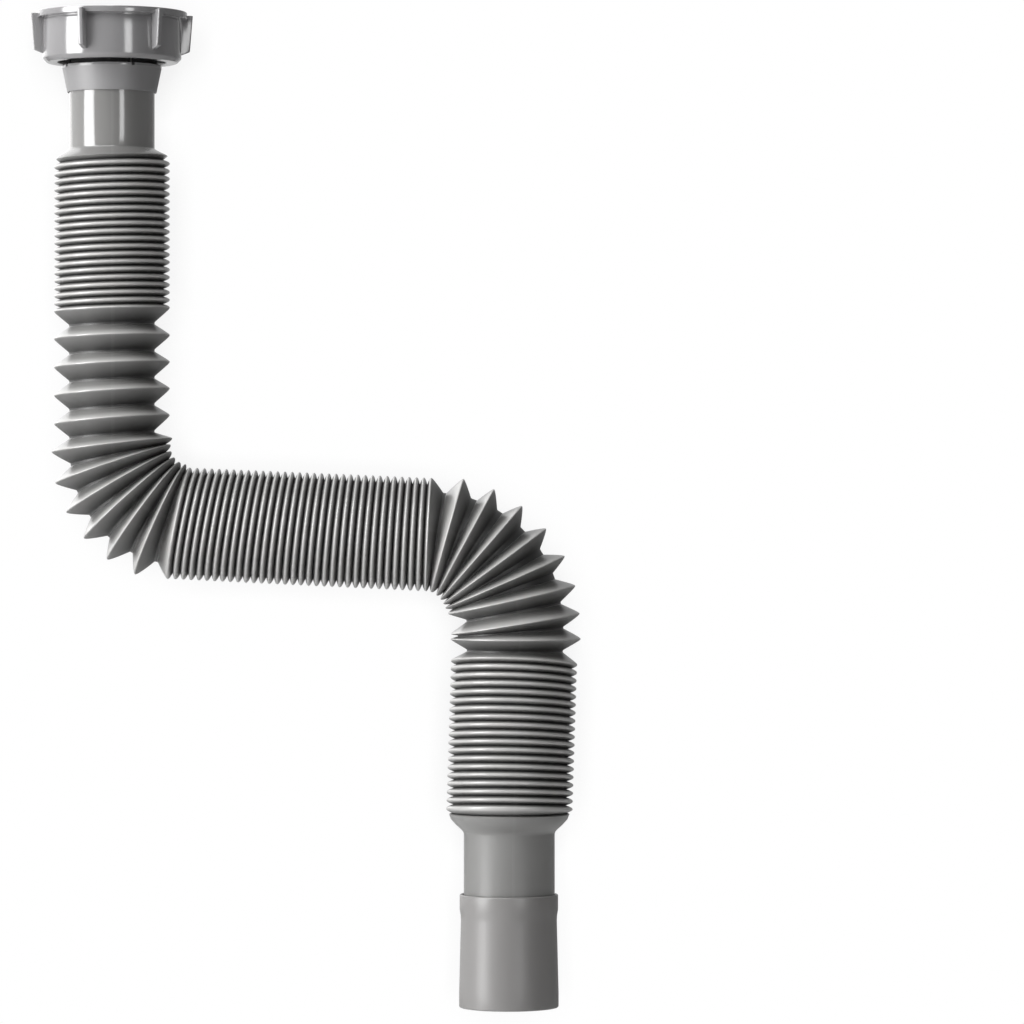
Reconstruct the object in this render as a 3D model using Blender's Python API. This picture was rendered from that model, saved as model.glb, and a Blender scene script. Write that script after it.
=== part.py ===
"""Flexible sink trap: a corrugated waste hose bent into a trap, with its union nut, collar, washer and outlet sleeve.

Metres, +Z up. The origin is the centre of the nut's mouth, on the inlet's axis. The hose drops from there,
turns towards +X, runs across, and turns down again to the outlet.
"""
import math

import bmesh
import bpy
from mathutils import Matrix, Vector

# General
CLEARANCE = 0.0003
TURNED_SEGMENTS = 48
HOSE_SEGMENTS = 16
CUT_OVERRUN = 0.002
TURNED_SHARP_ANGLE = math.radians(32.0)
FOLD_SHARP_ANGLE = math.radians(50.0)

# Union nut
NUT_HEIGHT = 0.0201
NUT_WALL = 0.0038
NUT_CHAMFER = 0.0016
RIM_WIDTH = 0.0023
RIM_HEIGHT = 0.0024
THREAD_DEPTH = 0.00148
THREAD_RELIEF_HEIGHT = 0.0046
NUT_FLOOR = 0.0025
NUT_HOLE_EASE = 0.0019
LUG_COUNT = 6
LUG_REACH = 0.0048
LUG_TAPER = 0.0012
LUG_THICKNESS = 0.0022
LUG_TOP_INSET = 0.0007
LUG_LENGTH = 0.0146
LUG_FOOT_LENGTH = 0.0018
LUG_ROOT_DEPTH = 0.0010
FIRST_LUG_ANGLE = math.radians(-108.7)

# Hose ends
NECK_RADIUS = 0.01704
HOSE_WALL = 0.0015
FLANGE_EASE = 0.00038
FLANGE_THICKNESS = 0.0025
UPPER_NECK_LENGTH = 0.0221
UPPER_CONE_LENGTH = 0.0039
LOWER_NECK_LENGTH = 0.0242
LOWER_CONE_LENGTH = 0.0082
SLEEVE_ENGAGEMENT = 0.0280
SEGMENT_GAP = 0.0003

# Folds of the hose: how far they stand out from their roots, and how far apart they stand
GROOVE_DEPTH = 0.00115
CLOSED_CREST_WALL = 0.0026
SHOULDER_DROP = 0.0009
UPPER_FOLD_DEPTH = 0.00606
UPPER_BEND_FOLD_DEPTH = 0.00716
MIDDLE_FOLD_DEPTH = 0.00566
LOWER_BEND_FIRST_FOLD_DEPTH = 0.00646
LOWER_BEND_FOLD_DEPTH = 0.0068
LOWER_FOLD_DEPTH = 0.0061
LOWER_ROOT_STEP = 0.0010
CLOSED_PITCH = 0.00303
OPEN_PITCH = 0.0110
BEND_PITCH = 0.0076
LOWER_PITCH = 0.00325
UPPER_BEND_LEAD = 0.0047
LOWER_BEND_TAIL = 0.0101

# Folds of the hose: how many each stretch has
UPPER_FOLDS = 20
OPEN_FOLDS = 4
UPPER_BEND_FOLDS = 6
MIDDLE_FOLDS = 34
LOWER_BEND_FOLDS = 5
LOWER_END_FOLDS = 3
LOWER_FOLDS = 19

# Course of the hose: headings of travel and tilts of the fold planes, first and last of each stretch
UPPER_TILT = math.radians(2.0)
OPEN_END_TILT = math.radians(4.5)
UPPER_BEND_HEADINGS = (math.radians(3.0), math.radians(78.0))
UPPER_BEND_TILTS = (math.radians(6.5), math.radians(65.5))
MIDDLE_HEADING = math.radians(87.4)
MIDDLE_TILTS = (math.radians(78.7), math.radians(87.3))
LOWER_BEND_HEADINGS = (math.radians(69.0), math.radians(21.0))
LOWER_BEND_TILTS = (math.radians(74.2), math.radians(23.4))
LOWER_BEND_END_HEADINGS = (math.radians(8.5), math.radians(-4.0))
LOWER_BEND_END_TILTS = (math.radians(12.4), math.radians(0.0))
LOWER_HEADING = math.radians(-1.8)
LOWER_TILTS = (math.radians(-2.0), math.radians(-0.5))
LOWER_NODS = (math.radians(6.0), math.radians(4.0))

# Seal washer
WASHER_THICKNESS = 0.0030
WASHER_WIDTH = 0.0055

# Thrust collar
HOOK_HEIGHT = 0.0016
HOOK_BITE = 0.0014
HOOK_BEVEL = 0.0006
HOOK_EASE = 0.0008
COLLAR_WALL = 0.00246
COLLAR_BAND_DROP = 0.0023
COLLAR_CONE_LENGTH = 0.0097
COLLAR_LIP = 0.0004
SLOT_COUNT = 4
SLOT_WIDTH = 0.0008
FIRST_SLOT_ANGLE = math.radians(-150.0)

# Outlet sleeve
SLEEVE_LENGTH = 0.0452
SLEEVE_RADIUS = 0.0199
SLEEVE_WALL = 0.0014
SLEEVE_TOP_STEP = 0.0002
SLEEVE_WAIST_DEPTH = 0.0007
SLEEVE_BEAD_LENGTH = 0.0060
SLEEVE_WAIST_LENGTH = 0.0040
SLEEVE_EDGE = 0.0009
SLEEVE_STOP_WIDTH = 0.0014

# Heights that follow from the sizes above, measured from the nut's mouth
FLOOR_TOP = -NUT_HEIGHT + NUT_FLOOR
HOOK_BOTTOM = FLOOR_TOP + CLEARANCE
HOOK_TOP = HOOK_BOTTOM + HOOK_HEIGHT
FLANGE_BOTTOM = HOOK_TOP + CLEARANCE
FLANGE_TOP = FLANGE_BOTTOM + FLANGE_THICKNESS
WASHER_BOTTOM = FLANGE_TOP + CLEARANCE
WASHER_TOP = WASHER_BOTTOM + WASHER_THICKNESS
BAND_BOTTOM = -NUT_HEIGHT - COLLAR_BAND_DROP
COLLAR_BOTTOM = BAND_BOTTOM - COLLAR_CONE_LENGTH
NECK_BOTTOM = COLLAR_BOTTOM - UPPER_NECK_LENGTH

# Radii at the inlet that follow from the neck's, outwards through the collar and the nut
COLLAR_BORE_RADIUS = NECK_RADIUS + CLEARANCE
COLLAR_BAND_RADIUS = COLLAR_BORE_RADIUS + COLLAR_WALL
NUT_HOLE_RADIUS = COLLAR_BAND_RADIUS + NUT_HOLE_EASE
HOOK_RADIUS = NUT_HOLE_RADIUS + HOOK_BITE
THREAD_MAJOR_RADIUS = HOOK_RADIUS + HOOK_EASE
THREAD_MINOR_RADIUS = THREAD_MAJOR_RADIUS - THREAD_DEPTH
NUT_RADIUS = THREAD_MAJOR_RADIUS + NUT_WALL
FLANGE_RADIUS = THREAD_MINOR_RADIUS - FLANGE_EASE

# Radii at the outlet that follow from the sleeve's, which fits a pipe socket
SLEEVE_TOP_RADIUS = SLEEVE_RADIUS - SLEEVE_TOP_STEP
SLEEVE_WAIST_RADIUS = SLEEVE_RADIUS - SLEEVE_WAIST_DEPTH
SLEEVE_BORE_RADIUS = SLEEVE_RADIUS - SLEEVE_WALL
LOWER_NECK_RADIUS = SLEEVE_BORE_RADIUS - CLEARANCE
LOWER_ROOT_RADIUS = LOWER_NECK_RADIUS + LOWER_ROOT_STEP

# Radii of the folds' crests
UPPER_CREST_RADIUS = NECK_RADIUS + UPPER_FOLD_DEPTH
UPPER_BEND_CREST_RADIUS = NECK_RADIUS + UPPER_BEND_FOLD_DEPTH
MIDDLE_CREST_RADIUS = NECK_RADIUS + MIDDLE_FOLD_DEPTH
LOWER_BEND_FIRST_CREST_RADIUS = NECK_RADIUS + LOWER_BEND_FIRST_FOLD_DEPTH
LOWER_BEND_CREST_RADIUS = LOWER_ROOT_RADIUS + LOWER_BEND_FOLD_DEPTH
LOWER_CREST_RADIUS = LOWER_ROOT_RADIUS + LOWER_FOLD_DEPTH


def make_material(name, colour, roughness):
    """A plain plastic or rubber finish."""
    material = bpy.data.materials.new(name)
    material.use_nodes = True
    shader = material.node_tree.nodes["Principled BSDF"]
    shader.inputs["Base Color"].default_value = (*colour, 1.0)
    shader.inputs["Roughness"].default_value = roughness
    shader.inputs["Metallic"].default_value = 0.0
    material.diffuse_color = (*colour, 1.0)
    return material


def add_object(name, mesh, material, sharp_angle=TURNED_SHARP_ANGLE):
    """Put a mesh in the scene as one named, smoothly shaded piece."""
    piece = bpy.data.objects.new(name, mesh)
    bpy.context.scene.collection.objects.link(piece)
    mesh.materials.append(material)
    mesh.shade_smooth()
    mesh.set_sharp_from_angle(angle=sharp_angle)
    return piece


def circle(centre, across, deep, radius, segments):
    """Points of a circle in the plane of the two unit vectors."""
    points = []
    for side in range(segments):
        angle = 2.0 * math.pi * side / segments
        points.append(centre + radius * (math.cos(angle) * across + math.sin(angle) * deep))
    return points


def skin_rings(name, rings):
    """Skin a closed loop of rings, each a list of points, into one solid with its faces outward."""
    bm = bmesh.new()
    loops = [[bm.verts.new(point) for point in ring] for ring in rings]
    count = len(rings[0])
    for index, loop in enumerate(loops):
        following = loops[(index + 1) % len(loops)]
        for side in range(count):
            after = (side + 1) % count
            bm.faces.new((loop[side], loop[after], following[after], following[side]))
    if bm.calc_volume(signed=True) < 0.0:
        bmesh.ops.reverse_faces(bm, faces=bm.faces)
    mesh = bpy.data.meshes.new(name)
    bm.to_mesh(mesh)
    bm.free()
    return mesh


def turn_profile(name, profile, axis_x=0.0):
    """Turn a closed outline of (radius, height) points about the vertical line at axis_x."""
    across = Vector((1.0, 0.0, 0.0))
    deep = Vector((0.0, 1.0, 0.0))
    rings = []
    for radius, height in profile:
        rings.append(circle(Vector((axis_x, 0.0, height)), across, deep, radius, TURNED_SEGMENTS))
    return skin_rings(name, rings)


def make_plates(name, outline, thickness, count, first_angle):
    """Upright plates around the vertical axis, each a (radius, height) outline with a thickness."""
    bm = bmesh.new()
    for index in range(count):
        turn = Matrix.Rotation(first_angle + index * 2.0 * math.pi / count, 3, "Z")
        near = [bm.verts.new(turn @ Vector((r, -thickness / 2.0, z))) for r, z in outline]
        far = [bm.verts.new(turn @ Vector((r, thickness / 2.0, z))) for r, z in outline]
        bm.faces.new(near)
        bm.faces.new(far[::-1])
        for side in range(len(outline)):
            after = (side + 1) % len(outline)
            bm.faces.new((near[after], near[side], far[side], far[after]))
    bmesh.ops.recalc_face_normals(bm, faces=bm.faces)
    mesh = bpy.data.meshes.new(name)
    bm.to_mesh(mesh)
    bm.free()
    plates = bpy.data.objects.new(name, mesh)
    bpy.context.scene.collection.objects.link(plates)
    plates.hide_render = True
    plates.display_type = "WIRE"
    return plates


def add_boolean(piece, plates, operation):
    """Join or cut with a set of plates through an exact Boolean."""
    modifier = piece.modifiers.new(operation.title(), "BOOLEAN")
    modifier.operation = operation
    modifier.solver = "EXACT"
    modifier.object = plates


def build_union_nut(material):
    """The nut's shell with its rim, thread bore, relief and holed floor, and its gripping lugs."""
    rim_radius = NUT_RADIUS + RIM_WIDTH
    thread_bevel = THREAD_MAJOR_RADIUS - THREAD_MINOR_RADIUS
    relief_top = FLOOR_TOP + THREAD_RELIEF_HEIGHT
    profile = [
        (THREAD_MAJOR_RADIUS, 0.0),
        (rim_radius, 0.0),
        (rim_radius, -RIM_HEIGHT),
        (NUT_RADIUS, -RIM_HEIGHT),
        (NUT_RADIUS, -NUT_HEIGHT + NUT_CHAMFER),
        (NUT_RADIUS - NUT_CHAMFER, -NUT_HEIGHT),
        (NUT_HOLE_RADIUS, -NUT_HEIGHT),
        (NUT_HOLE_RADIUS, FLOOR_TOP),
        (THREAD_MAJOR_RADIUS, FLOOR_TOP),
        (THREAD_MAJOR_RADIUS, relief_top - thread_bevel),
        (THREAD_MINOR_RADIUS, relief_top),
        (THREAD_MINOR_RADIUS, -thread_bevel),
    ]
    nut = add_object("union_nut", turn_profile("union_nut", profile), material)
    lug_foot = -LUG_TOP_INSET - LUG_LENGTH
    outline = [
        (NUT_RADIUS - LUG_ROOT_DEPTH, -LUG_TOP_INSET),
        (NUT_RADIUS + LUG_REACH, -LUG_TOP_INSET),
        (NUT_RADIUS + LUG_REACH - LUG_TAPER, lug_foot),
        (NUT_RADIUS - LUG_ROOT_DEPTH, lug_foot - LUG_FOOT_LENGTH),
    ]
    lugs = make_plates("nut_lug_plates", outline, LUG_THICKNESS, LUG_COUNT, FIRST_LUG_ANGLE)
    add_boolean(nut, lugs, "UNION")


def build_seal_washer(material):
    """The flat rubber ring that the flange presses against the waste outlet."""
    inner = FLANGE_RADIUS - WASHER_WIDTH
    profile = [
        (inner, WASHER_TOP),
        (FLANGE_RADIUS, WASHER_TOP),
        (FLANGE_RADIUS, WASHER_BOTTOM),
        (inner, WASHER_BOTTOM),
    ]
    add_object("seal_washer", turn_profile("seal_washer", profile), material)


def build_thrust_collar(material):
    """The coned ring on the hose neck, whose slotted fingers snap into the nut's floor."""
    profile = [
        (COLLAR_BORE_RADIUS, HOOK_TOP),
        (HOOK_RADIUS - HOOK_BEVEL, HOOK_TOP),
        (HOOK_RADIUS, HOOK_TOP - HOOK_BEVEL),
        (HOOK_RADIUS, HOOK_BOTTOM),
        (COLLAR_BAND_RADIUS, HOOK_BOTTOM),
        (COLLAR_BAND_RADIUS, BAND_BOTTOM),
        (COLLAR_BORE_RADIUS + COLLAR_LIP, COLLAR_BOTTOM),
        (COLLAR_BORE_RADIUS, COLLAR_BOTTOM),
    ]
    collar = add_object("thrust_collar", turn_profile("thrust_collar", profile), material)
    outline = [
        (COLLAR_BORE_RADIUS - CUT_OVERRUN, HOOK_TOP + CUT_OVERRUN),
        (HOOK_RADIUS + CUT_OVERRUN, HOOK_TOP + CUT_OVERRUN),
        (HOOK_RADIUS + CUT_OVERRUN, BAND_BOTTOM),
        (COLLAR_BORE_RADIUS - CUT_OVERRUN, BAND_BOTTOM),
    ]
    slots = make_plates("collar_slot_plates", outline, SLOT_WIDTH, SLOT_COUNT, FIRST_SLOT_ANGLE)
    add_boolean(collar, slots, "DIFFERENCE")


class Route:
    """Walks along the hose and notes rings on the way: centre, plane and radius, for each skin of the wall."""

    def __init__(self, start):
        self.point = start
        self.heading = 0.0
        self.outer = []
        self.inner = []

    def step(self, length):
        """Move on along the heading, the angle of travel from straight down towards +X."""
        forward = Vector((math.sin(self.heading), 0.0, -math.cos(self.heading)))
        self.point = self.point + length * forward

    def ring(self, outer=None, inner=None, tilt=0.0, nod=0.0):
        """Note a ring whose plane is turned by tilt towards +X, with its front edge raised by nod."""
        across = Vector((math.cos(tilt), 0.0, math.sin(tilt)))
        along = Vector((math.sin(tilt), 0.0, -math.cos(tilt)))
        deep = math.cos(nod) * Vector((0.0, 1.0, 0.0)) + math.sin(nod) * along
        if outer is not None:
            self.outer.append(circle(self.point, across, deep, outer, HOSE_SEGMENTS))
        if inner is not None:
            self.inner.append(circle(self.point, across, deep, inner, HOSE_SEGMENTS))

    def folds(self, count, pitch, headings, tilts, crests, roots, nods=(0.0, 0.0), closed=False):
        """Crest rings a pitch apart, with a groove ring between each two."""
        crest_wall = CLOSED_CREST_WALL if closed else HOSE_WALL
        intervals = count - 1
        for index in range(count):
            share = index / intervals
            crest = lerp(crests, share)
            nod = lerp(nods, share)
            self.ring(crest, crest - crest_wall, lerp(tilts, share), nod)
            self.heading = lerp(headings, share)
            if index < intervals:
                halfway = (index + 0.5) / intervals
                root = lerp(roots, halfway)
                groove = crest - GROOVE_DEPTH if closed else root
                self.step(pitch / 2.0)
                self.ring(groove, root - HOSE_WALL, lerp(tilts, halfway), nod)
                self.step(pitch / 2.0)

    def seam(self, name, root, tilt, material):
        """Build the stretch noted so far up to this root ring, and start the next one a hair further on."""
        self.step(-SEGMENT_GAP / 2.0)
        self.ring(root, root - HOSE_WALL, tilt)
        self.build(name, material)
        self.step(SEGMENT_GAP)
        self.ring(root, root - HOSE_WALL, tilt)
        self.step(-SEGMENT_GAP / 2.0)

    def build(self, name, material):
        """Skin the noted rings into one wall, open from end to end."""
        rings = self.outer + self.inner[::-1]
        add_object(name, skin_rings(name, rings), material, FOLD_SHARP_ANGLE)
        self.outer = []
        self.inner = []


def lerp(ends, share):
    """The value that lies the given share of the way from the first of two values to the second."""
    return ends[0] + (ends[1] - ends[0]) * share


def build_upper_run(route, material):
    """The flange in the nut, the neck that the collar slides on, and the closed folds under it."""
    bore = NECK_RADIUS - HOSE_WALL
    shoulder = UPPER_CREST_RADIUS - SHOULDER_DROP
    route.ring(FLANGE_RADIUS, bore)
    route.step(FLANGE_THICKNESS)
    route.ring(FLANGE_RADIUS)
    route.ring(NECK_RADIUS)
    route.step(FLANGE_BOTTOM - NECK_BOTTOM)
    route.ring(NECK_RADIUS, bore)
    route.step(UPPER_CONE_LENGTH)
    route.ring(shoulder, tilt=UPPER_TILT)
    route.step(CLOSED_PITCH / 2.0)
    route.ring(UPPER_CREST_RADIUS - GROOVE_DEPTH, bore, UPPER_TILT)
    route.step(CLOSED_PITCH / 2.0)
    crests = (UPPER_CREST_RADIUS, UPPER_CREST_RADIUS)
    tilts = (UPPER_TILT, UPPER_TILT)
    route.folds(UPPER_FOLDS, CLOSED_PITCH, (0.0, 0.0), tilts, crests, (NECK_RADIUS, NECK_RADIUS), closed=True)
    route.step(OPEN_PITCH / 2.0)
    route.seam("hose_upper_run", NECK_RADIUS, UPPER_TILT, material)


def build_open_folds(route, material):
    """The pulled-out folds above the first bend."""
    route.step(OPEN_PITCH / 2.0)
    crests = (UPPER_CREST_RADIUS, UPPER_CREST_RADIUS)
    tilts = (UPPER_TILT, OPEN_END_TILT)
    route.folds(OPEN_FOLDS, OPEN_PITCH, (0.0, 0.0), tilts, crests, (NECK_RADIUS, NECK_RADIUS))
    route.step(OPEN_PITCH / 2.0)
    route.seam("hose_open_folds", NECK_RADIUS, OPEN_END_TILT, material)


def build_upper_bend(route, material):
    """The first bend, its folds shut inside the turn and fanned open outside it."""
    route.step(UPPER_BEND_LEAD)
    crests = (UPPER_BEND_CREST_RADIUS, UPPER_BEND_CREST_RADIUS)
    roots = (NECK_RADIUS, NECK_RADIUS)
    route.folds(UPPER_BEND_FOLDS, BEND_PITCH, UPPER_BEND_HEADINGS, UPPER_BEND_TILTS, crests, roots)
    route.step(BEND_PITCH / 2.0)
    seam_tilt = (UPPER_BEND_TILTS[1] + MIDDLE_TILTS[0]) / 2.0
    route.seam("hose_upper_bend", NECK_RADIUS, seam_tilt, material)


def build_middle_run(route, material):
    """The closed folds that cross from one bend to the other."""
    route.step(BEND_PITCH / 2.0)
    crests = (MIDDLE_CREST_RADIUS, MIDDLE_CREST_RADIUS)
    headings = (MIDDLE_HEADING, MIDDLE_HEADING)
    roots = (NECK_RADIUS, NECK_RADIUS)
    route.folds(MIDDLE_FOLDS, CLOSED_PITCH, headings, MIDDLE_TILTS, crests, roots, closed=True)
    route.step(BEND_PITCH / 2.0)
    seam_tilt = (MIDDLE_TILTS[1] + LOWER_BEND_TILTS[0]) / 2.0
    route.seam("hose_middle_run", NECK_RADIUS, seam_tilt, material)


def build_lower_bend(route, material):
    """The second bend, which turns down and widens, with a straighter stretch at its end."""
    route.step(BEND_PITCH / 2.0)
    crests = (LOWER_BEND_FIRST_CREST_RADIUS, LOWER_BEND_CREST_RADIUS)
    roots = (NECK_RADIUS, LOWER_ROOT_RADIUS)
    route.folds(LOWER_BEND_FOLDS, BEND_PITCH, LOWER_BEND_HEADINGS, LOWER_BEND_TILTS, crests, roots)
    easing_tilt = (LOWER_BEND_TILTS[1] + LOWER_BEND_END_TILTS[0]) / 2.0
    route.step(BEND_PITCH / 2.0)
    route.ring(LOWER_ROOT_RADIUS, LOWER_ROOT_RADIUS - HOSE_WALL, easing_tilt)
    route.step(BEND_PITCH / 2.0)
    crests = (LOWER_BEND_CREST_RADIUS, LOWER_BEND_CREST_RADIUS)
    roots = (LOWER_ROOT_RADIUS, LOWER_ROOT_RADIUS)
    route.folds(LOWER_END_FOLDS, BEND_PITCH, LOWER_BEND_END_HEADINGS, LOWER_BEND_END_TILTS, crests, roots)
    route.step(LOWER_BEND_TAIL / 2.0)
    route.seam("hose_lower_bend", LOWER_ROOT_RADIUS, LOWER_BEND_END_TILTS[1], material)


def build_lower_run(route, material):
    """The closed folds above the outlet, and the neck that the sleeve holds. Returns where the sleeve's top is."""
    bore = LOWER_NECK_RADIUS - HOSE_WALL
    route.step(LOWER_BEND_TAIL / 2.0)
    crests = (LOWER_CREST_RADIUS, LOWER_CREST_RADIUS)
    headings = (LOWER_HEADING, LOWER_HEADING)
    roots = (LOWER_ROOT_RADIUS, LOWER_ROOT_RADIUS)
    route.folds(LOWER_FOLDS, LOWER_PITCH, headings, LOWER_TILTS, crests, roots, LOWER_NODS, closed=True)
    route.step(LOWER_PITCH / 2.0)
    route.ring(LOWER_CREST_RADIUS - GROOVE_DEPTH, LOWER_ROOT_RADIUS - HOSE_WALL)
    route.heading = 0.0
    route.step(LOWER_CONE_LENGTH)
    route.ring(LOWER_NECK_RADIUS, bore)
    route.step(LOWER_NECK_LENGTH)
    sleeve_top = route.point.copy()
    route.step(SLEEVE_ENGAGEMENT)
    route.ring(LOWER_NECK_RADIUS, bore)
    route.build("hose_lower_run", material)
    return sleeve_top


def build_outlet_sleeve(top, material):
    """The stepped cuff pushed over the hose's lower neck, which plugs into the drain."""
    stop = top.z - SLEEVE_ENGAGEMENT - CLEARANCE
    stop_bore = SLEEVE_BORE_RADIUS - SLEEVE_STOP_WIDTH
    foot = top.z - SLEEVE_LENGTH
    bead_foot = top.z - SLEEVE_BEAD_LENGTH
    profile = [
        (SLEEVE_BORE_RADIUS, top.z),
        (SLEEVE_TOP_RADIUS - SLEEVE_EDGE, top.z),
        (SLEEVE_TOP_RADIUS, top.z - SLEEVE_EDGE),
        (SLEEVE_TOP_RADIUS, bead_foot),
        (SLEEVE_WAIST_RADIUS, bead_foot - SLEEVE_WAIST_LENGTH),
        (SLEEVE_RADIUS, foot + SLEEVE_EDGE),
        (SLEEVE_RADIUS - SLEEVE_EDGE, foot),
        (stop_bore, foot),
        (stop_bore, stop),
        (SLEEVE_BORE_RADIUS, stop),
    ]
    add_object("outlet_sleeve", turn_profile("outlet_sleeve", profile, top.x), material)


def main():
    """Clear the scene, then build every piece from the nut down to the outlet."""
    for leftover in list(bpy.data.objects):
        bpy.data.objects.remove(leftover, do_unlink=True)
    gloss_grey = make_material("gloss_grey_plastic", (0.27, 0.27, 0.28), 0.18)
    hose_grey = make_material("hose_grey_plastic", (0.26, 0.26, 0.26), 0.28)
    satin_grey = make_material("satin_grey_plastic", (0.26, 0.255, 0.25), 0.38)
    black_rubber = make_material("black_rubber", (0.03, 0.03, 0.03), 0.6)
    build_union_nut(gloss_grey)
    build_seal_washer(black_rubber)
    build_thrust_collar(gloss_grey)
    route = Route(Vector((0.0, 0.0, FLANGE_TOP)))
    build_upper_run(route, hose_grey)
    build_open_folds(route, hose_grey)
    build_upper_bend(route, hose_grey)
    build_middle_run(route, hose_grey)
    build_lower_bend(route, hose_grey)
    sleeve_top = build_lower_run(route, hose_grey)
    build_outlet_sleeve(sleeve_top, satin_grey)


main()
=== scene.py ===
import math

import bpy
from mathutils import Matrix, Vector


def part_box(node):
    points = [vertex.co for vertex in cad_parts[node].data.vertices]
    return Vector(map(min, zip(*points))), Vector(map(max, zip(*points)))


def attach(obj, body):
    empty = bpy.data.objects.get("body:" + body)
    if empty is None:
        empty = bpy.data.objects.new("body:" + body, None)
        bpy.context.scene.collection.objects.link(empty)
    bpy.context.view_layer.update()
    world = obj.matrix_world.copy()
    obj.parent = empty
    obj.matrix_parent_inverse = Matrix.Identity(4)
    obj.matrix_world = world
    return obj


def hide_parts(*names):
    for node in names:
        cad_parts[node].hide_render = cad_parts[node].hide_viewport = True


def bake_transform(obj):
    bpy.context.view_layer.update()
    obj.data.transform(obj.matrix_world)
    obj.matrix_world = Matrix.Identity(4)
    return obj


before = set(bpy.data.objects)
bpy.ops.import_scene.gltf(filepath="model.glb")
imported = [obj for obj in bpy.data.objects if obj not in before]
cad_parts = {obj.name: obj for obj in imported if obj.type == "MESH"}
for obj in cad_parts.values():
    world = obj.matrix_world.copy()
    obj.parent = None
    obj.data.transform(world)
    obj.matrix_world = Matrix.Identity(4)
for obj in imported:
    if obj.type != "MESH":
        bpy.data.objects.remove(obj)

bl_info = {
    "name": "Flexible sink trap",
    "version": (1, 0, 0),
    "blender": (4, 5, 0),
    "location": "View3D > Sidebar > Sink trap",
    "description": "Dresses a corrugated sink trap: folded hose, union nut, collar, washer and sleeve",
    "category": "Add Mesh",
}


def amount(description, default, **more):
    """A plain number."""
    return bpy.props.FloatProperty(description=description, default=default, **more)


def length(description, default):
    """A size in metres."""
    return amount(description, default, unit="LENGTH", precision=5)


def angle(description, degrees):
    """An angle, given in degrees."""
    return amount(description, math.radians(degrees), unit="ROTATION")


def count(description, default):
    """How many of a repeated thing."""
    return bpy.props.IntProperty(description=description, default=default, min=2)


def colour(description, default):
    """A colour, in linear values."""
    return bpy.props.FloatVectorProperty(description=description, default=default, subtype="COLOR", size=3)


class HoseSizes(bpy.types.PropertyGroup):
    """Sizes of the corrugated hose and of the course that it takes."""

    neck_radius: length("Outer radius of the upper neck and of the open grooves", 0.01704)
    wall: length("Thickness of the wall, measured across the hose", 0.0015)
    flange_radius: length("Outer radius of the flange inside the nut", 0.02204)
    flange_thickness: length("Height of the flange", 0.0025)
    upper_neck: length("Visible length of the neck under the collar", 0.0221)
    upper_cone: length("Height of the shoulder between the neck and the first groove", 0.0039)
    lower_neck_radius: length("Outer radius of the lower neck", 0.0182)
    lower_neck_length: length("Visible length of the lower neck", 0.0242)
    lower_cone: length("Height of the shoulder above the lower neck", 0.0082)
    engagement: length("How far the lower neck reaches into the sleeve", 0.0280)
    upper_crest: length("Outer radius of the upper folds", 0.0231)
    upper_bend_crest: length("Outer radius of the folds in the first bend", 0.0242)
    middle_crest: length("Outer radius of the folds that cross", 0.0227)
    lower_bend_first_crest: length("Outer radius of its first fold", 0.0235)
    lower_bend_crest: length("Outer radius of the second bend's last folds", 0.0260)
    lower_crest: length("Outer radius of the lowest folds", 0.0253)
    lower_root: length("Outer radius of the open grooves low on the hose", 0.0192)
    slit_depth: length("Depth of the slit between two shut folds", 0.0028)
    closed_pitch: length("Distance between shut folds", 0.00303)
    open_pitch: length("Distance between pulled-out folds", 0.0110)
    bend_pitch: length("Distance between folds in the bends, along the centre line", 0.0076)
    lower_pitch: length("Distance between the lowest shut folds", 0.00325)
    upper_bend_lead: length("From the groove above the bend to its first crest", 0.0047)
    upper_folds: count("Shut folds under the neck", 20)
    open_folds: count("Pulled-out folds above the first bend", 4)
    upper_bend_folds: count("Folds in the first bend", 6)
    middle_folds: count("Shut folds that cross", 34)
    lower_bend_folds: count("Folds in the second bend's turn", 5)
    lower_folds: count("Shut folds above the outlet", 19)
    groove_shift: length("How far past halfway an open groove lies", 0.0006)
    open_land: length("Width of the land in an open groove", 0.0005)
    wide_land: length("Width of the land in the second bend's grooves", 0.00125)


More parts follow.
